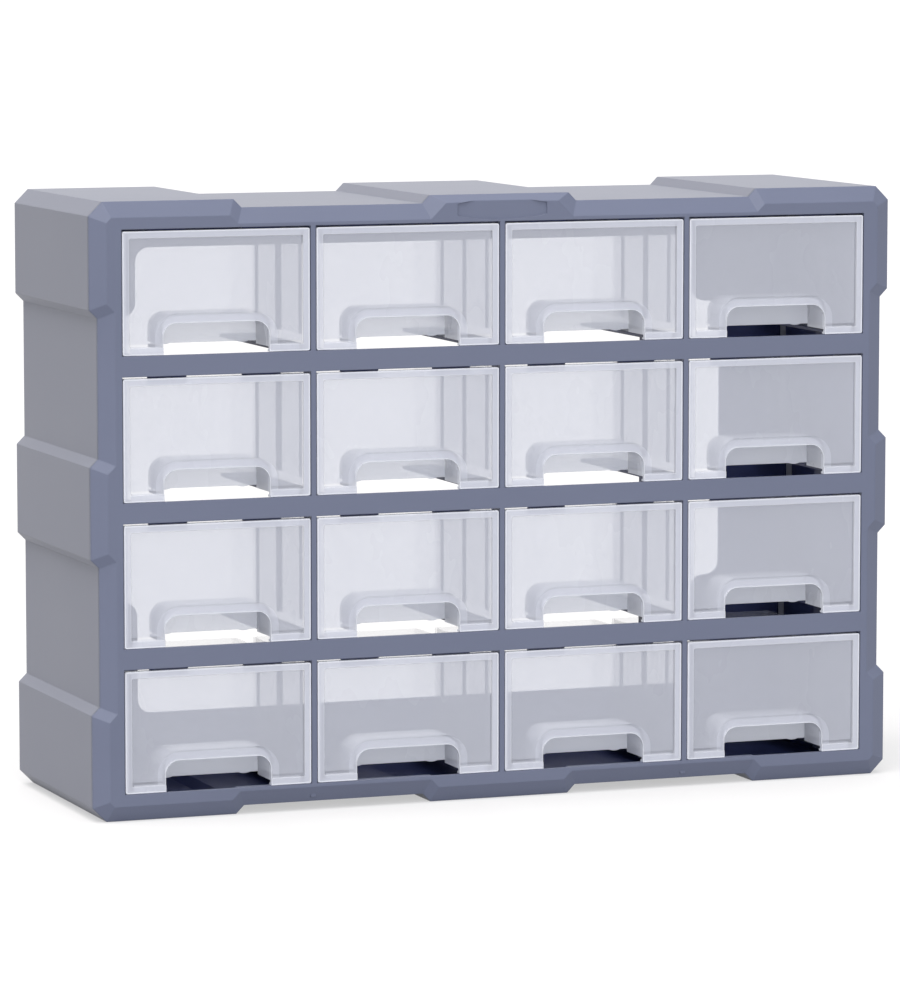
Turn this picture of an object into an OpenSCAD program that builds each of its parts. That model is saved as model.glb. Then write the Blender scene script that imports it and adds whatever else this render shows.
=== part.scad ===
// Parts bin cabinet: a wall or bench cabinet with four rows of four pull-out bins.
//
// Millimetres, +Z up, +X to the right seen from the front. The drawers open towards -Y.
// The origin lies on the ground under the middle of the cabinet. Inside the modules, y is
// counted backwards from the front face, and from_front() moves a finished piece to its place.

/* [Cabinet] */
// Width over the tabs on both sides
cabinet_w = 520; // [460:1:640]
// Depth from the front face to the rear edge
cabinet_d = 160; // [140:1:220]
// Height over the tabs on the top and the bottom
cabinet_h = 370; // [330:1:460]
// Wall thickness of the outer shell
wall_t = 2.2; // [1.6:0.1:3]
// Flat cut across the four long corners, along each side
corner_cut = 8.5; // [5:0.5:12]

/* [Outline tabs] */
// How far the tabs stand out from the walls between them
tab_depth = 5; // [2:0.5:6]
// Length of the tabs at the ends of the top and the bottom
corner_tab_w = 90; // [60:1:110]
// Length of the tab at the middle of the top and the bottom
middle_tab_w = 90; // [75:1:120]
// Height of the tabs at the ends of both sides
corner_tab_h = 64; // [40:1:80]
// Height of the tab at the middle of both sides
middle_tab_h = 55; // [30:1:80]

/* [Front frame] */
// Width of the slope around the face
bevel_w = 9.3; // [6:0.1:11]
// Depth of the slope around the face
bevel_d = 5; // [3.5:0.1:7]
// Straight edge of the frame behind the slope
edge_land = 1.5; // [1:0.1:3]
// Thickness of the face
face_t = 3; // [2:0.1:3.5]
// Width of the frame beside the outer drawers
side_margin = 18.6; // [17:0.1:24]
// Height of the frame above the top drawers and below the bottom ones
end_margin = 16.4; // [15.5:0.1:22]
// Width of the posts between the drawers
post_w = 3.2; // [2:0.1:6]
// Depth of the posts and of the stiffening ribs
post_d = 14; // [10:0.5:20]
// Height of the rails between the drawers
rail_h = 12.4; // [9:0.1:18]
// Thickness of the stiffening ribs and tabs behind the face
rib_t = 2; // [1.4:0.1:3]
// Open joint between the frame and the shell
seam_gap = 0.6; // [0.3:0.1:1]
// Length of the lip that locates the frame in the shell
lip_len = 9; // [5:0.5:14]
// Thickness of that lip
lip_t = 2; // [1.4:0.1:3]
// Play of the lip and of the back panel in the shell
fit = 0.2; // [0.1:0.05:0.3]

/* [Plaque] */
// Width of the bare plaque at the top of the frame
plaque_w = 58; // [40:1:62]
// Height of the plaque at its middle
plaque_mid_h = 12.5; // [9:0.1:13]
// Height of the plaque at its ends
plaque_end_h = 7; // [4:0.1:8]
// Depth of the plaque's recess
plaque_recess = 1; // [0.5:0.1:1.5]
// Height of the plaque's middle above the top drawers
plaque_rise = 7.5; // [7:0.1:8]
// Width of the slope above the plaque
plaque_bevel_w = 4.6; // [4:0.1:6]

/* [Runners] */
// Width of the ledge under each side of a drawer
ledge_w = 10; // [8:0.5:24]
// Thickness of the ledges
ledge_t = 2; // [1.6:0.1:2.6]
// Length of the web that carries a ledge behind its post
web_len = 70; // [50:1:110]
// Gap between the end of the ledges and the back panel
ledge_end_gap = 0.3; // [0.2:0.1:1]

/* [Drawer stops] */
// Width of a stop tab
stop_w = 24; // [12:0.5:28]
// Distance of a stop tab's middle from the middle of its drawer
stop_offset = 29.6; // [24:0.1:34]
// How far the stop tabs hang below the rail
stop_drop = 5; // [4.5:0.1:7]

/* [Back panel] */
// Thickness of the back panel
back_t = 2.5; // [2:0.1:4]
// How far the back panel lies inside the rear edge
back_recess = 14.5; // [8:0.5:20]
// Width of the shelf in the shell that the back panel sits against
seat_w = 4; // [2.5:0.1:4.5]
// Thickness of that shelf
seat_t = 2.4; // [1.6:0.1:3.5]
// Width of the back panel beside the window, from the outer side
window_side = 52.5; // [44:0.5:70]
// Height of the back panel above the window, from the top
window_top = 36.6; // [32:0.1:50]
// Height of the back panel below the window, from the ground
window_bottom = 42.3; // [30:0.1:60]
// Width of the pads in the corners of the window
pad_w = 19.5; // [19:0.5:30]
// Height of the upper pads
pad_top_h = 43; // [25:1:60]
// Height of the lower pads
pad_bottom_h = 70; // [40:1:90]
// Radius of the rounded pad and window corners
window_r = 9; // [4:0.5:9]
// Diameter of the two holes for wall screws
wall_hole_d = 5; // [4:0.1:7]
// Distance between the two wall holes
wall_hole_spacing = 370; // [250:1:390]
// Distance of the wall holes from the top
wall_hole_drop = 20; // [18:0.5:26]

/* [Corner screws] */
// Diameter of the screw pillars
pillar_d = 8.5; // [7:0.1:9]
// Space between a pillar and the drawer opening next to it
pillar_gap = 0.2; // [0.1:0.1:0.5]
// Diameter of the screws
screw_d = 3; // [2.5:0.1:3.5]
// Length of the screws under the head
screw_len = 14; // [10:0.5:18]
// Diameter of the screw heads
screw_head_d = 7; // [6:0.1:8]
// Height of the screw heads
screw_head_h = 2.4; // [1.8:0.1:3]
// Length of the arms of the cross in the screw heads
screw_cross_l = 4.2; // [3:0.1:5]
// Width of those arms
screw_cross_w = 0.8; // [0.6:0.1:1.2]
// Depth of the cross
screw_cross_d = 1.2; // [0.8:0.1:1.4]
// Play around the screws, in the pillars and in the back panel
screw_play = 0.2; // [0.1:0.05:0.4]

/* [Drawer] */
// Side play of the drawer front in its opening
front_side_gap = 0.55; // [0.4:0.05:1]
// Gap above the drawer front
front_top_gap = 1.2; // [0.8:0.1:2]
// Gap below the drawer front
front_bottom_gap = 0.3; // [0.3:0.05:0.6]
// How far the drawer front lies behind the face of the frame
front_recess = 0.4; // [0:0.1:1]
// Thickness of the drawer front
front_t = 2; // [1.6:0.1:2.6]
// Width of the raised border of the drawer front
border_w = 4.2; // [3:0.1:6]
// Height of that border over the field
border_rise = 0.6; // [0.3:0.1:0.8]
// Depth of the drawer front's turned-back edge
edge_d = 4.4; // [3.5:0.1:5.5]
// Thickness of the turned-back edge
edge_t = 1.2; // [0.8:0.1:1.4]
// Length of the drawer
drawer_len = 132.6; // [100:0.1:134]
// How far the bin's sides lie inside the edge of the front
bin_inset = 3; // [2.6:0.1:4.5]
// Wall thickness of the bin
bin_t = 1.5; // [1:0.1:2]
// Radius of the bin's rear corners
bin_r = 4; // [2.5:0.5:8]
// Gap above the bin's walls
bin_top_gap = 3; // [2.6:0.1:3.6]
// Height of the skids under the bin
skid_h = 4.7; // [3:0.1:6]
// Width of the skids
skid_w = 3; // [2:0.1:6]
// Play between the skids and the ledges
glide_gap = 0.4; // [0.3:0.05:0.6]

/* [Finger pull] */
// Width of the finger pull
pull_w = 66.5; // [45:0.5:72]
// Height of the arch in the drawer front
pull_h = 18.5; // [14:0.5:22]
// Radius of the arch's upper corners
pull_r = 8.5; // [4:0.5:10]
// Depth of the pocket behind the arch
pocket_d = 26; // [18:0.5:36]
// Height of the pocket's roof above the top of the arch
pocket_rise = 5.6; // [2:0.1:9]
// Height of the lower edge of the pocket's cheeks
cheek_lift = 3.2; // [1:0.1:4.5]

/* [Divider guides] */
// Distance of the first pair of guide ribs from the drawer's front
guide_first = 45; // [38:0.5:50]
// Distance between the pairs
guide_pitch = 38; // [25:0.5:42]
// Width of a guide rib
guide_w = 1.2; // [0.8:0.1:2]
// How far a guide rib stands out from the wall
guide_h = 1.2; // [0.8:0.1:2]
// Slot between the two ribs of a pair
guide_slot = 1.8; // [1.2:0.1:3]

/* [Hidden] */
columns = 4;
rows = 4;
guide_pairs = 2;
// Depth by which the pieces of one moulding run into each other, and reach of the cuts
lap = 0.5;
cut = 1;
$fn = 64;
arc_fn = 240;
frame_colour = "#767C94";
shell_colour = "#8F929E";
back_colour = "#6F758C";
screw_colour = "#B8BABF";
drawer_colour = [0.86, 0.88, 0.92, 0.55];

// The grid of openings
opening_w = (cabinet_w - 2 * side_margin - (columns - 1) * post_w) / columns;
opening_h = (cabinet_h - 2 * end_margin - (rows - 1) * rail_h) / rows;
pitch_x = opening_w + post_w;
pitch_z = opening_h + rail_h;
grid_w = cabinet_w - 2 * side_margin;
grid_h = cabinet_h - 2 * end_margin;
function cell_x(col) = -grid_w / 2 + opening_w / 2 + (col - 1) * pitch_x;
function cell_z(row) = cabinet_h - end_margin - opening_h - (row - 1) * pitch_z;

// Stations along the depth
rim_end = bevel_d + edge_land;
border_reach = bevel_w + wall_t;
shell_start = rim_end + seam_gap;
lip_end = shell_start + lip_len;
back_end = cabinet_d - back_recess;
back_start = back_end - back_t;
edge_end = front_recess + edge_d;
ledge_end = back_start - ledge_end_gap;
stop_start = edge_end + glide_gap;

// The drawer
front_w = opening_w - 2 * front_side_gap;
front_h = opening_h - front_top_gap - front_bottom_gap;
bin_w = front_w - 2 * bin_inset;
bin_bottom = glide_gap + skid_h;
bin_top = opening_h - bin_top_gap;
bin_end = front_recess + drawer_len;
pocket_top = front_bottom_gap + pull_h + pocket_rise;

// Corner pillars and screws, as distances from the middle of the cabinet
pillar_x = grid_w / 2 + pillar_gap + pillar_d / 2;
pillar_z = grid_h / 2 + pillar_gap + pillar_d / 2;
bore_len = screw_len + screw_play;

// The rib below the bottom row lies low enough to stay out of sight behind the face
sill_z = end_margin - 2 * rib_t;

// The bottom web stays above the shell's raised floor
bottom_web_drop = end_margin - tab_depth - wall_t - 2 * fit;

// One quarter of the cabinet's outline, from the middle of the right side to the middle of
// the top, as [x, z] from the centre of the cabinet
function quarter() = let (hw = cabinet_w / 2, hh = cabinet_h / 2, t = tab_depth) [
    [hw, middle_tab_h / 2],
    [hw - t, middle_tab_h / 2 + t],
    [hw - t, hh - corner_tab_h - t],
    [hw, hh - corner_tab_h],
    [hw, hh - corner_cut],
    [hw - corner_cut, hh],
    [hw - corner_tab_w, hh],
    [hw - corner_tab_w - t, hh - t],
    [middle_tab_w / 2 + t, hh - t],
    [middle_tab_w / 2, hh]];

function reversed(pts) = [for (i = [len(pts) - 1:-1:0]) pts[i]];
function flipped(pts, sx, sz) = [for (p = pts) [p[0] * sx, p[1] * sz]];
function outline() = let (q = quarter())
    concat(q, flipped(reversed(q), -1, 1), flipped(q, -1, -1), flipped(reversed(q), 1, -1));

// The outline with edge i, the one that starts at point i, moved inwards by d[i]
function left_normal(a, b) = let (u = (b - a) / norm(b - a)) [-u[1], u[0]];
function inset_by(pts, d) = let (n = len(pts)) [for (i = [0:n - 1]) let (
    h = (i + n - 1) % n,
    a = left_normal(pts[h], pts[i]),
    b = left_normal(pts[i], pts[(i + 1) % n]),
    c = a * b)
    pts[i] + ((d[h] - c * d[i]) * a + (d[i] - c * d[h]) * b) / (1 - c * c)];
function inset(pts, d) = inset_by(pts, [for (p = pts) d]);

// Moves a piece from depths counted from the front to the cabinet's own frame
module from_front() {
    translate([0, -cabinet_d / 2, 0]) children();
}

// Moves a piece drawn around the centre of the face up to its height
module from_centre() {
    translate([0, 0, cabinet_h / 2]) children();
}

// Extrudes a shape drawn in x and z from depth y0 to depth y1
module along_depth(y0, y1) {
    translate([0, y1, 0]) rotate([90, 0, 0]) linear_extrude(y1 - y0) children();
}

// Box from one corner to the opposite one
module box(a, b) {
    translate(a) cube(b - a);
}

// Rectangle between two corners whose own corners are round
module round_rect(a, b, r) {
    translate([a[0] + r, a[1]]) square([b[0] - a[0] - 2 * r, b[1] - a[1]]);
    translate([a[0], a[1] + r]) square([b[0] - a[0], b[1] - a[1] - 2 * r]);
    for (x = [a[0] + r, b[0] - r], y = [a[1] + r, b[1] - r]) translate([x, y]) circle(r);
}

// Arch with a flat top and round upper corners, standing on z = bottom
module arch(half_w, bottom, top, r) {
    translate([-half_w, bottom]) square([2 * half_w, top - r - bottom]);
    translate([r - half_w, bottom]) square([2 * (half_w - r), top - bottom]);
    for (x = [r - half_w, half_w - r]) translate([x, top - r]) circle(r);
}

// ---------------------------------------------------------------- housing shell

// Ring that follows the outline, between two insets and two depths
module ring(outer, inner, y0, y1) {
    from_centre() along_depth(y0, y1) difference() {
        polygon(inset(outline(), outer));
        polygon(inset(outline(), inner));
    }
}

module housing_shell() {
    color(shell_colour) from_front() {
        ring(0, wall_t, shell_start, cabinet_d);
        ring(wall_t - lap, wall_t + seat_w, back_start - seat_t, back_start);
    }
}

// ---------------------------------------------------------------- front frame

// Border of the frame: the straight edge, and the slope, narrower on the middle tab of the
// top, where the face reaches up to hold the plaque. Each loop of the slope's points is
// followed by the next one, and the last one by the first
module frame_border() {
    edge = outline();
    n = len(edge);
    top_edge = len(quarter()) - 1;
    slope = inset_by(edge, [for (i = [0:n - 1]) i == top_edge ? plaque_bevel_w : bevel_w]);
    inner = inset(edge, border_reach);
    mid_edge = bevel_d + edge_land / 2;
    loops = [[slope, 0], [edge, bevel_d], [edge, mid_edge], [inner, mid_edge], [inner, 0]];
    ring(0, border_reach, bevel_d, rim_end);
    from_centre() polyhedron(
        points = [for (loop = loops) for (p = loop[0]) [p[0], loop[1], p[1]]],
        faces = [for (k = [0:len(loops) - 1], i = [0:n - 1]) let (
            here = k * n,
            next = (k + 1) % len(loops) * n,
            j = (i + 1) % n)
            each [[here + i, here + j, next + j], [here + i, next + j, next + i]]]);
}

// Barrel-shaped plaque: two flat arcs between straight ends
module plaque_shape() {
    sag = (plaque_mid_h - plaque_end_h) / 2;
    arc_r = (plaque_w * plaque_w / 4 + sag * sag) / (2 * sag);
    intersection() {
        square([plaque_w, plaque_mid_h], center = true);
        translate([0, arc_r - plaque_mid_h / 2]) circle(arc_r, $fn = arc_fn);
        translate([0, plaque_mid_h / 2 - arc_r]) circle(arc_r, $fn = arc_fn);
    }
}

// The four corners of the cabinet, as signs of x and z
module at_corners() {
    for (sx = [-1, 1], sz = [-1, 1])
        translate([sx * pillar_x, 0, cabinet_h / 2 + sz * pillar_z]) rotate([-90, 0, 0]) children();
}

module screw_pillars() {
    at_corners() difference() {
        translate([0, 0, face_t - lap]) cylinder(d = pillar_d, h = back_start - face_t + lap);
        translate([0, 0, back_start - bore_len])
            cylinder(d = screw_d + screw_play, h = bore_len + cut);
    }
}

// Ledges and web on the post at boundary b (0 is the left edge of the grid), level with the
// lower edge of the openings at height z. drop is the web's depth below z
module runner(b, z, drop) {
    x = -grid_w / 2 - post_w / 2 + b * pitch_x;
    left = b == 0 ? -post_w / 2 : -post_w / 2 - ledge_w;
    right = b == columns ? post_w / 2 : post_w / 2 + ledge_w;
    translate([x, 0, 0]) {
        box([left, face_t - lap, z - ledge_t], [right, ledge_end, z]);
        box([-post_w / 2, face_t - lap, z - drop], [post_w / 2, web_len, z]);
    }
}

// Two tabs behind the top edge of an opening, which catch the drawer's rear wall
module drawer_stops(x, top) {
    for (s = [-1, 1]) translate([x + s * stop_offset, 0, top]) {
        box([-stop_w / 2, stop_start, -stop_drop], [stop_w / 2, stop_start + rib_t, rib_t]);
        box([-stop_w / 2, face_t - lap, 0], [stop_w / 2, stop_start + rib_t, rib_t]);
    }
}

module front_frame() {
    color(frame_colour) from_front() {
        difference() {
            union() {
                frame_border();
                from_centre() along_depth(0, face_t) polygon(inset(outline(), border_reach - lap));
                ring(wall_t + fit, wall_t + fit + lip_t, bevel_d, lip_end);
            }
            for (col = [1:columns], row = [1:rows])
                translate([cell_x(col) - opening_w / 2, -cut, cell_z(row)])
                    cube([opening_w, rim_end + 2 * cut, opening_h]);
            translate([0, 0, cabinet_h - end_margin + plaque_rise])
                along_depth(-cut, plaque_recess) plaque_shape();
        }
        for (b = [1:columns - 1])
            translate([-grid_w / 2 - post_w / 2 + b * pitch_x, 0, 0])
                box([-post_w / 2, face_t - lap, sill_z],
                    [post_w / 2, post_d, cabinet_h - end_margin + rib_t]);
        for (row = [1:rows - 1])
            translate([0, 0, cell_z(row) - rail_h / 2])
                box([-grid_w / 2, face_t - lap, -rib_t / 2], [grid_w / 2, post_d, rib_t / 2]);
        box([-grid_w / 2, face_t - lap, sill_z], [grid_w / 2, post_d, sill_z + rib_t]);
        for (b = [0:columns], row = [1:rows])
            runner(b, cell_z(row), row == rows ? bottom_web_drop : rail_h);
        for (col = [1:columns], row = [1:rows])
            drawer_stops(cell_x(col), cell_z(row) + opening_h);
        screw_pillars();
    }
}

// ---------------------------------------------------------------- back panel

// Window with a pad left standing in each corner
module window_shape() {
    hw = cabinet_w / 2 - window_side;
    low = window_bottom - cabinet_h / 2;
    high = cabinet_h / 2 - window_top;
    round_rect([-hw, low + pad_bottom_h], [hw, high - pad_top_h], window_r);
    round_rect([-hw + pad_w, low], [hw - pad_w, high], window_r);
    for (side = [0, 1]) mirror([side, 0]) {
        translate([hw - pad_w, high - pad_top_h]) rounding(window_r);
        translate([hw - pad_w, low + pad_bottom_h]) mirror([0, 1]) rounding(window_r);
    }
}

// What rounds off a corner that stands at the origin and fills the first quadrant
module rounding(r) {
    difference() {
        translate([-lap, -lap]) square(r + lap);
        translate([r, r]) circle(r);
    }
}

module back_panel() {
    color(back_colour) from_front() difference() {
        from_centre() along_depth(back_start, back_end) difference() {
            polygon(inset(outline(), wall_t + fit));
            window_shape();
        }
        at_corners() translate([0, 0, back_start - cut])
            cylinder(d = screw_d + 2 * screw_play, h = back_t + 2 * cut);
        for (s = [-1, 1])
            translate([s * wall_hole_spacing / 2, back_start - cut, cabinet_h - wall_hole_drop])
                rotate([-90, 0, 0]) cylinder(d = wall_hole_d, h = back_t + 2 * cut);
    }
}

// ---------------------------------------------------------------- corner screws

// Pan-head screw along +Z with its head's seat at z = 0, so its shank lies below
module screw() {
    difference() {
        union() {
            cylinder(d = screw_head_d, h = screw_head_h);
            translate([0, 0, -screw_len]) cylinder(d = screw_d, h = screw_len + lap);
        }
        for (a = [0, 90]) rotate(a)
            translate([-screw_cross_l / 2, -screw_cross_w / 2, screw_head_h - screw_cross_d])
                cube([screw_cross_l, screw_cross_w, screw_cross_d + cut]);
    }
}

module corner_screws() {
    color(screw_colour) from_front() at_corners() translate([0, 0, back_end]) screw();
}

// ---------------------------------------------------------------- drawer

// Front with its raised border and turned-back edge
module drawer_front() {
    low = front_bottom_gap;
    high = low + front_h;
    half = front_w / 2;
    difference() {
        along_depth(front_recess, edge_end) round_rect([-half, low], [half, high], edge_t);
        along_depth(front_recess - cut, front_recess + border_rise)
            round_rect([border_w - half, low + border_w], [half - border_w, high - border_w], edge_t);
        along_depth(front_recess + front_t + border_rise, edge_end + cut)
            translate([edge_t - half, low + edge_t])
                square([front_w - 2 * edge_t, front_h - 2 * edge_t]);
    }
}

// Plan of the bin between the front and its rear wall, shrunk by t
module bin_plan(t) {
    half = bin_w / 2 - t;
    start = front_recess + border_rise + front_t / 2;
    end = bin_end - t;
    r = bin_r - t;
    translate([-half, start]) square([2 * half, end - r - start]);
    translate([r - half, start]) square([2 * (half - r), end - start]);
    for (x = [r - half, half - r]) translate([x, end - r]) circle(r);
}

// Room taken by the finger pull, grown by t
module pocket_space(t, bottom) {
    along_depth(front_recess, front_recess + pocket_d + t)
        arch(pull_w / 2 + t, bottom, pocket_top - bin_t + t, pull_r + t);
}

module bin() {
    difference() {
        translate([0, 0, bin_bottom]) linear_extrude(bin_top - bin_bottom) bin_plan(0);
        translate([0, 0, bin_bottom + bin_t]) linear_extrude(bin_top) bin_plan(bin_t);
    }
}

// Pairs of ribs on both side walls, which take loose dividers
module divider_guides() {
    for (side = [0, 1], i = [0:guide_pairs - 1], k = [-1, 1]) {
        middle = front_recess + guide_first + i * guide_pitch + k * (guide_slot + guide_w) / 2;
        mirror([side, 0, 0])
            translate([bin_w / 2 - bin_t - guide_h, middle - guide_w / 2, bin_bottom])
                cube([guide_h + bin_t / 2, guide_w, bin_top - bin_bottom]);
    }
}

// Strips under the sides of the bin, which slide on the ledges
module skids() {
    difference() {
        translate([0, 0, glide_gap]) linear_extrude(skid_h + bin_t / 2) bin_plan(0);
        translate([0, 0, glide_gap - cut]) linear_extrude(skid_h + cut)
            translate([skid_w - bin_w / 2, 0]) square([bin_w - 2 * skid_w, bin_end + cut]);
    }
}

// Walls of the pocket. Its cheeks reach below the floor of the bin
module pocket() {
    intersection() {
        union() {
            pocket_space(bin_t, bin_bottom);
            along_depth(front_recess, front_recess + pocket_d)
                arch(pull_w / 2 + bin_t, cheek_lift, pocket_top - bin_t, pull_r + bin_t);
        }
        linear_extrude(bin_top) bin_plan(0);
    }
}

// The room that the finger pull takes out of the bin and of the front
module pull_cut() {
    behind = front_recess + border_rise + front_t;
    along_depth(front_recess - cut, edge_end)
        arch(pull_w / 2, front_bottom_gap - cut, front_bottom_gap + pull_h, pull_r);
    along_depth(behind, front_recess + pocket_d)
        arch(pull_w / 2, front_bottom_gap - cut, pocket_top - bin_t, pull_r);
}

module drawer_body() {
    difference() {
        union() {
            drawer_front();
            bin();
            divider_guides();
            skids();
            pocket();
        }
        pull_cut();
    }
}

module drawer(row, col) {
    color(drawer_colour) from_front() translate([cell_x(col), 0, cell_z(row)]) drawer_body();
}

module drawer_r1_c1() drawer(1, 1);
module drawer_r1_c2() drawer(1, 2);
module drawer_r1_c3() drawer(1, 3);
module drawer_r1_c4() drawer(1, 4);
module drawer_r2_c1() drawer(2, 1);
module drawer_r2_c2() drawer(2, 2);
module drawer_r2_c3() drawer(2, 3);
module drawer_r2_c4() drawer(2, 4);
module drawer_r3_c1() drawer(3, 1);
module drawer_r3_c2() drawer(3, 2);
module drawer_r3_c3() drawer(3, 3);
module drawer_r3_c4() drawer(3, 4);
module drawer_r4_c1() drawer(4, 1);
module drawer_r4_c2() drawer(4, 2);
module drawer_r4_c3() drawer(4, 3);
module drawer_r4_c4() drawer(4, 4);

housing_shell();
front_frame();
back_panel();
corner_screws();
drawer_r1_c1();
drawer_r1_c2();
drawer_r1_c3();
drawer_r1_c4();
drawer_r2_c1();
drawer_r2_c2();
drawer_r2_c3();
drawer_r2_c4();
drawer_r3_c1();
drawer_r3_c2();
drawer_r3_c3();
drawer_r3_c4();
drawer_r4_c1();
drawer_r4_c2();
drawer_r4_c3();
drawer_r4_c4();
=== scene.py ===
import math

import bmesh
import bpy
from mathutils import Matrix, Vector


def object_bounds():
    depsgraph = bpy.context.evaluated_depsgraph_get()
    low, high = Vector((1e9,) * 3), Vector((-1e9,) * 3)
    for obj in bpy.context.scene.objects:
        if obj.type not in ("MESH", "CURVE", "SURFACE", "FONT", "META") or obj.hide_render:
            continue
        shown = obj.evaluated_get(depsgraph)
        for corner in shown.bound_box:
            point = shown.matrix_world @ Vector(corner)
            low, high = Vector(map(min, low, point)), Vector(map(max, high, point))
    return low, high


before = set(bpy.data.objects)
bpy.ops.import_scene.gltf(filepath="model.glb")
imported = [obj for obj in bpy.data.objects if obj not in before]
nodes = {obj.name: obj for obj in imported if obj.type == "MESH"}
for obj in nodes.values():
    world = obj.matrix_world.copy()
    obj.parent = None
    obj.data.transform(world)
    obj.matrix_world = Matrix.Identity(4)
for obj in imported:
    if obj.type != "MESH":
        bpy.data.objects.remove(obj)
cad_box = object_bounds()
scene = bpy.context.scene
DRAWERS = [f"drawer_r{row}_c{col}" for row in range(1, 5) for col in range(1, 5)]


def srgb(r, g, b):
    """Linear colour of an sRGB one given from 0 to 255."""
    def lin(v):
        v /= 255
        return v / 12.92 if v <= 0.04045 else ((v + 0.055) / 1.055) ** 2.4
    return lin(r), lin(g), lin(b), 1.0


# Lengths of the part's source, in metres: the grid of openings and the drawer fronts
GRID_X, GRID_Z = -0.2414, 0.0164
PITCH_X, PITCH_Z = 0.1215, 0.0874
OPENING_W = 0.1183
FRONT_W, FRONT_H, FRONT_MID = 0.1172, 0.0735, 0.03705
FRONT_T = 0.0049
BORDER = 0.0042
EDGE = 0.0009
# The finger pull, and its pocket: half width, height and depth
PULL_W, PULL_TOP, PULL_R = 0.0665, 0.0188, 0.0085
PULL_RING = 0.0056
POCKET_X, POCKET_Z, POCKET_Y = 0.035, 0.025, 0.0272
# The cabinet: depth of the face moulding, and half width and half height within the shell
FACE_Y = cad_box[0].y
FACE_T = 0.0032
WITHIN_X, WITHIN_Z = 0.2455, 0.171
MIDDLE_Z = 0.185
# Widths over which a mask fades out
SHARP, FINE, SOFT, WIDE = 0.0002, 0.0004, 0.0006, 0.0012

# Painted shade: a dark navy that stands in for the shade inside the cabinet
PAINTED_SHADE_NAVY = srgb(36, 46, 92)
# Whiter for thicker plastic, and also painted highlight on the edge strokes and painted glow in the pocket
THICK_AND_LIT_WHITE = srgb(240, 244, 255)
IOR = 1.49

# How much of the light each surface of the drawers stops
FIELD, RING, RIM, LINE, POCKET, SIDE, WALL = 0.43, 0.55, 0.72, 0.9, 0.78, 0.17, 0.1
STEP_LINE = 0.7
# Share of that which also holds light back from what lies behind: most of it only scatters
SHADE = 0.3

# ---------------------------------------------------------------- materials


class Tree:
    """Short calls for building the nodes of one material or world."""

    def __init__(self, owner):
        owner.use_nodes = True
        self.owner = owner
        self.nodes = owner.node_tree.nodes
        self.links = owner.node_tree.links

    def add(self, kind, **values):
        node = self.nodes.new(kind)
        for key, value in values.items():
            setattr(node, key, value)
        return node

    def link(self, a, b):
        self.links.new(a, b)

    def feed(self, socket, value):
        """Sets a socket to a number or a colour, or links it."""
        if isinstance(value, (int, float, tuple)):
            socket.default_value = value
        else:
            self.link(value, socket)

    def noise(self, scale, detail=3.0, roughness=0.5, stretch=(1, 1, 1)):
        """Noise over the object's own coordinates, in cycles per metre."""
        where = self.add("ShaderNodeTexCoord")
        fit = self.add("ShaderNodeMapping")
        fit.inputs["Scale"].default_value = stretch
        self.link(where.outputs["Object"], fit.inputs["Vector"])
        n = self.add("ShaderNodeTexNoise")
        n.inputs["Scale"].default_value = scale
        n.inputs["Detail"].default_value = detail
        n.inputs["Roughness"].default_value = roughness
        self.link(fit.outputs["Vector"], n.inputs["Vector"])
        return n.outputs["Fac"]

    def ramp(self, value, start, end, low, high):
        """low where value is at start or less, high at end or more, and a slope between."""
        m = self.add("ShaderNodeMapRange", clamp=True)
        m.inputs["From Min"].default_value = start
        m.inputs["From Max"].default_value = end
        m.inputs["To Min"].default_value = low
        m.inputs["To Max"].default_value = high
        self.link(value, m.inputs["Value"])
        return m.outputs["Result"]

    def span(self, noise, low, high):
        """Noise stretched to a range. It seldom leaves the middle of 0 to 1."""
        return self.ramp(noise, 0.15, 0.85, low, high)

    def below(self, value, edge, soft):
        """1 where value is under edge, fading to 0 over soft."""
        return self.ramp(value, edge - soft / 2, edge + soft / 2, 1.0, 0.0)

    def mix(self, factor, a, b):
        m = self.add("ShaderNodeMix", data_type="RGBA")
        # The colour sockets are the third pair of a Mix node
        self.feed(m.inputs[6], a)
        self.feed(m.inputs[7], b)
        self.link(factor, m.inputs[0])
        return m.outputs[2]

    def math(self, operation, a, b=0.0, c=0.0):
        m = self.add("ShaderNodeMath", operation=operation)
        for socket, value in zip(m.inputs, (a, b, c)):
            self.feed(socket, value)
        return m.outputs[0]

    def most(self, first, *others):
        for other in others:
            first = self.math("MAXIMUM", first, other)
        return first

    def times(self, first, *others):
        for other in others:
            first = self.math("MULTIPLY", first, other)
        return first

    def far(self, value, middle):
        """Distance of a coordinate from a middle."""
        return self.math("ABSOLUTE", self.math("SUBTRACT", value, middle))

    def rounded(self, radius):
        """Normal that runs softly over the edges."""
        soft = self.add("ShaderNodeBevel", samples=4)
        soft.inputs["Radius"].default_value = radius
        return soft.outputs["Normal"]

    def place(self):
        """Coordinates of the point, in metres: x across, depth behind the face, z up."""
        where = self.add("ShaderNodeSeparateXYZ")
        self.link(self.add("ShaderNodeTexCoord").outputs["Object"], where.inputs[0])
        return where.outputs["X"], self.math("SUBTRACT", where.outputs["Y"], FACE_Y), where.outputs["Z"]

    def facing(self):
        """The three parts of the surface's normal."""
        way = self.add("ShaderNodeSeparateXYZ")
        self.link(self.add("ShaderNodeTexCoord").outputs["Normal"], way.inputs[0])
        return way.outputs

    def bump(self, height, strength, distance, normal=None):
        b = self.add("ShaderNodeBump")
        b.inputs["Strength"].default_value = strength
        b.inputs["Distance"].default_value = distance
        self.link(height, b.inputs["Height"])
        if normal is not None:
            self.link(normal, b.inputs["Normal"])
        return b.outputs["Normal"]

    def in_view(self):
        """1 for the rays that show a background: straight, mirrored or through something clear."""
        path = self.add("ShaderNodeLightPath").outputs
        return self.most(path["Is Camera Ray"], path["Is Glossy Ray"], path["Is Transmission Ray"])


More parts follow.
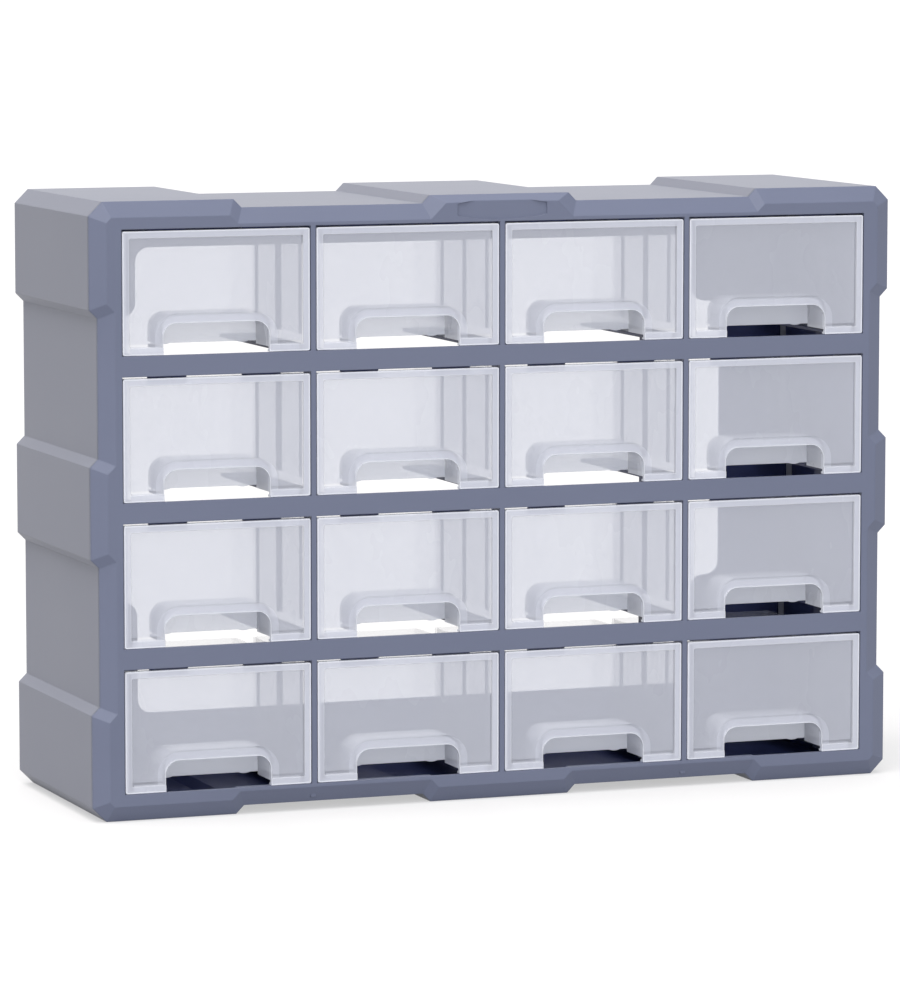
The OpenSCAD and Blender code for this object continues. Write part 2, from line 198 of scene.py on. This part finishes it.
class Material(Tree):
    """A new material with its main shader at hand."""

    def __init__(self, name):
        super().__init__(bpy.data.materials.new(name))
        self.shader = self.nodes["Principled BSDF"]

    def set(self, socket, value):
        self.feed(self.shader.inputs[socket], value)


def moulded(name, base, lighter, rough, grain, inside):
    """Opaque polypropylene: a fine spark-eroded grain, faint flow clouds and uneven gloss.
    inside gives 1 for the surfaces within the cabinet, where the shade that falls there is painted as a dark
    navy."""
    t = Material(name)
    clouds = t.noise(9.0, 4.0, 0.55, (1, 1, 1.6))
    tint = t.mix(t.span(clouds, 0.0, 1.0), base, lighter)
    # Painted shade: surfaces inside the cabinet take the dark navy in place of the shade that falls there
    t.set("Base Color", t.mix(inside(t), tint, PAINTED_SHADE_NAVY))
    t.set("Roughness", t.span(clouds, rough - 0.05, rough + 0.05))
    waves = t.bump(t.noise(26.0, 2.0), 0.25, 0.0006, t.rounded(EDGE))
    t.set("Normal", t.bump(t.noise(900.0, 2.0), grain, 0.00012, waves))
    t.set("IOR", IOR)
    return t.owner


def shaded_inside_frame(t):
    """Everything behind the face and within the shell that doesn't face up, where the shade inside the cabinet
    is painted dark navy.
    """
    x, depth, z = t.place()
    across = t.below(t.math("ABSOLUTE", x), WITHIN_X, SHARP)
    up = t.below(t.far(z, MIDDLE_Z), WITHIN_Z, SHARP)
    behind = t.below(t.math("MULTIPLY", depth, -1.0), -FACE_T, SHARP)
    return t.times(across, up, behind, t.below(t.facing()["Z"], 0.7, 0.2))


def shaded_inside_shell(t):
    """Surfaces that face the middle of the cabinet, where the shade inside is painted dark navy."""
    x, _, z = t.place()
    way = t.facing()
    outward = t.math("MULTIPLY", t.math("SUBTRACT", z, MIDDLE_Z), way["Z"])
    return t.below(t.math("MULTIPLY_ADD", x, way["X"], outward), -0.001, 0.001)


def shaded_inside_back(t):
    """The side that faces the drawers, where the shade inside is painted dark navy."""
    return t.below(t.facing()["Y"], -0.5, 0.2)


def milky(name):
    """Milky polypropylene of the drawers. It is whitest where the moulding is thick: in the
    rim and edges of the front and around the pocket. The bright strokes along the edges, the
    step of the rim and the arch are partly painted highlight, and the pocket is painted whiter
    in place of light that its shade holds back. The front is more clouded than the bin."""
    t = Material(name)
    clouds = t.noise(16.0, 4.0, 0.6, (1, 1, 0.5))
    tint = t.mix(t.span(clouds, 0.0, 1.0), srgb(219, 223, 237), srgb(214, 218, 233))
    t.set("Roughness", t.span(clouds, 0.2, 0.34))
    ripple = t.bump(t.noise(60.0, 2.0, 0.5, (1, 1, 0.25)), 0.03, 0.0004, t.rounded(0.0005))
    t.set("Normal", t.bump(t.noise(1200.0, 1.0), 0.12, 0.00006, ripple))
    t.set("IOR", IOR)

    # Place in the drawer's own opening, and distance from the edge of its front
    x, depth, z = t.place()
    across = t.math("SUBTRACT", t.math("WRAP", x, GRID_X + PITCH_X, GRID_X), GRID_X)
    up = t.math("SUBTRACT", t.math("WRAP", z, GRID_Z + PITCH_Z, GRID_Z), GRID_Z)
    side = t.far(across, OPENING_W / 2)
    end = t.far(up, FRONT_MID)
    inside = t.math("MINIMUM", t.math("SUBTRACT", FRONT_W / 2, side), t.math("SUBTRACT", FRONT_H / 2, end))

    front = t.below(depth, FRONT_T, SHARP)
    rim = t.below(inside, BORDER, FINE)
    step = t.below(t.far(inside, BORDER), 0.0003, 0.0003)
    edge = t.below(inside, EDGE, SOFT)
    # Distance from the arch of the finger pull
    ax = t.most(t.math("SUBTRACT", side, PULL_W / 2 - PULL_R), 0.0)
    az = t.most(t.math("SUBTRACT", up, PULL_TOP - PULL_R), 0.0)
    reach = t.math("SQRT", t.math("ADD", t.times(ax, ax), t.times(az, az)))
    reach = t.math("SUBTRACT", reach, PULL_R)
    ring = t.below(reach, PULL_RING, WIDE)
    arch = t.below(reach, 0.0005, SOFT)
    thick_lit_lines = t.most(t.times(step, STEP_LINE), edge, arch)
    plate = t.math("MULTIPLY_ADD", rim, RIM - FIELD, FIELD)
    plate = t.most(plate, t.times(ring, RING), t.times(thick_lit_lines, LINE))
    pocket = t.times(t.below(side, POCKET_X, FINE), t.below(up, POCKET_Z, FINE), t.below(depth, POCKET_Y, FINE))
    pocket = t.times(pocket, t.math("SUBTRACT", 1.0, front))
    # Painted light: the edge strokes and the pocket are whiter, partly for thicker plastic and partly as
    # painted highlight and painted glow
    t.set("Base Color", t.mix(t.most(pocket, thick_lit_lines), tint, THICK_AND_LIT_WHITE))

    # Light from the front crosses the side walls at a flat angle, so they stop more of it
    flank = t.math("ABSOLUTE", t.facing()["X"])
    wall = t.math("MULTIPLY_ADD", flank, SIDE - WALL, WALL)
    alpha = t.most(t.times(plate, front), t.times(pocket, POCKET), wall)
    path = t.add("ShaderNodeLightPath").outputs
    lighting = t.most(path["Is Shadow Ray"], path["Is Diffuse Ray"])
    t.set("Alpha", t.times(alpha, t.math("MULTIPLY_ADD", lighting, SHADE - 1, 1.0)))
    t.owner.surface_render_method = "BLENDED"
    return t.owner


def zinc(name):
    """Zinc-plated steel of the screws, with fine turning marks."""
    t = Material(name)
    marks = t.noise(1500.0, 2.0, 0.5, (1, 0.1, 1))
    t.set("Base Color", t.mix(t.span(marks, 0.0, 1.0), srgb(176, 178, 184), srgb(214, 214, 210)))
    t.set("Metallic", 1.0)
    t.set("Roughness", t.span(marks, 0.25, 0.42))
    t.set("Normal", t.bump(marks, 0.2, 0.0001))
    return t.owner


def dress(name, material):
    """Gives a CAD node its material."""
    slots = nodes[name].data.materials
    slots.clear()
    slots.append(material)


dress("front_frame", moulded("frame_pp", srgb(105, 112, 136), srgb(110, 117, 141), 0.46, 0.35, shaded_inside_frame))
dress("housing_shell", moulded("shell_pp", srgb(128, 131, 145), srgb(133, 136, 150), 0.5, 0.4, shaded_inside_shell))
dress("back_panel", moulded("back_pp", srgb(106, 112, 137), srgb(111, 117, 142), 0.5, 0.35, shaded_inside_back))
dress("corner_screws", zinc("screw_zinc"))
clear_pp = milky("clear_pp")
for drawer in DRAWERS:
    dress(drawer, clear_pp)

# ---------------------------------------------------------------- floor and light

FLOOR_HALF, FLOOR_Z = 40.0, -0.0002
# Glow that brings the lit floor up to white where it is seen
FLOOR_GLOW = 0.5
# Level of the world where it lights the object, and where it is seen
WORLD_LIGHT, WORLD_SEEN = 0.35, 1.0


def plane(name, half, z):
    mesh = bpy.data.meshes.new(name)
    bm = bmesh.new()
    bmesh.ops.create_grid(bm, x_segments=1, y_segments=1, size=half)
    bm.to_mesh(mesh)
    bm.free()
    obj = bpy.data.objects.new(name, mesh)
    obj.location.z = z
    scene.collection.objects.link(obj)
    return obj


paper = Material("floor_paper")
paper.set("Base Color", (0.42, 0.42, 0.43, 1))
paper.set("Roughness", 0.9)
paper.set("Specular IOR Level", 0.1)
paper.set("Emission Color", (1, 1, 1, 1))
paper.set("Emission Strength", paper.times(paper.in_view(), FLOOR_GLOW))
floor = plane("floor", FLOOR_HALF, FLOOR_Z)
floor.data.materials.append(paper.owner)

studio = Tree(bpy.data.worlds.new("studio"))
scene.world = studio.owner
background = studio.nodes["Background"].inputs
studio.feed(background["Color"], (1, 1, 1, 1))
studio.feed(background["Strength"], studio.ramp(studio.in_view(), 0.0, 1.0, WORLD_LIGHT, WORLD_SEEN))


def soft_sun(name, direction, strength, spread, colour):
    """Wide, even light that comes from a direction."""
    lamp = bpy.data.lights.new(name, "SUN")
    lamp.energy = strength
    lamp.angle = math.radians(spread)
    lamp.color = colour
    obj = bpy.data.objects.new(name, lamp)
    obj.location = Vector(direction) * 3
    obj.rotation_mode = "QUATERNION"
    obj.rotation_quaternion = (-Vector(direction)).to_track_quat("-Z", "Y")
    scene.collection.objects.link(obj)
    return obj


soft_sun("key", (-0.26, -0.18, 0.95), 2.7, 50.0, (1.0, 0.97, 0.93))
soft_sun("fill", (-0.2, -0.93, 0.3), 1.15, 40.0, (1.0, 1.0, 1.0))
# The rear light only fills the shade, without a glare on the top
rear = soft_sun("rear", (0.4, 0.85, 0.35), 0.9, 50.0, (1.0, 1.0, 1.0))
rear.visible_glossy = False

# ---------------------------------------------------------------- camera

# Fitted to the photo's outline and openings
YAW, PITCH = math.radians(20.924), math.radians(6.379)
CAMERA_AT = (-1.17178, -3.05549, 0.54134)
LENS = 190.27

camera = bpy.data.objects.new("camera", bpy.data.cameras.new("camera"))
camera.data.lens = LENS
camera.data.sensor_width = 36.0
camera.location = CAMERA_AT
look = Vector((math.sin(YAW) * math.cos(PITCH), math.cos(YAW) * math.cos(PITCH), -math.sin(PITCH)))
camera.rotation_mode = "QUATERNION"
camera.rotation_quaternion = look.to_track_quat("-Z", "Y")
camera.data.clip_start, camera.data.clip_end = 0.05, 200.0
scene.collection.objects.link(camera)
scene.camera = camera

scene.view_settings.view_transform = "Standard"
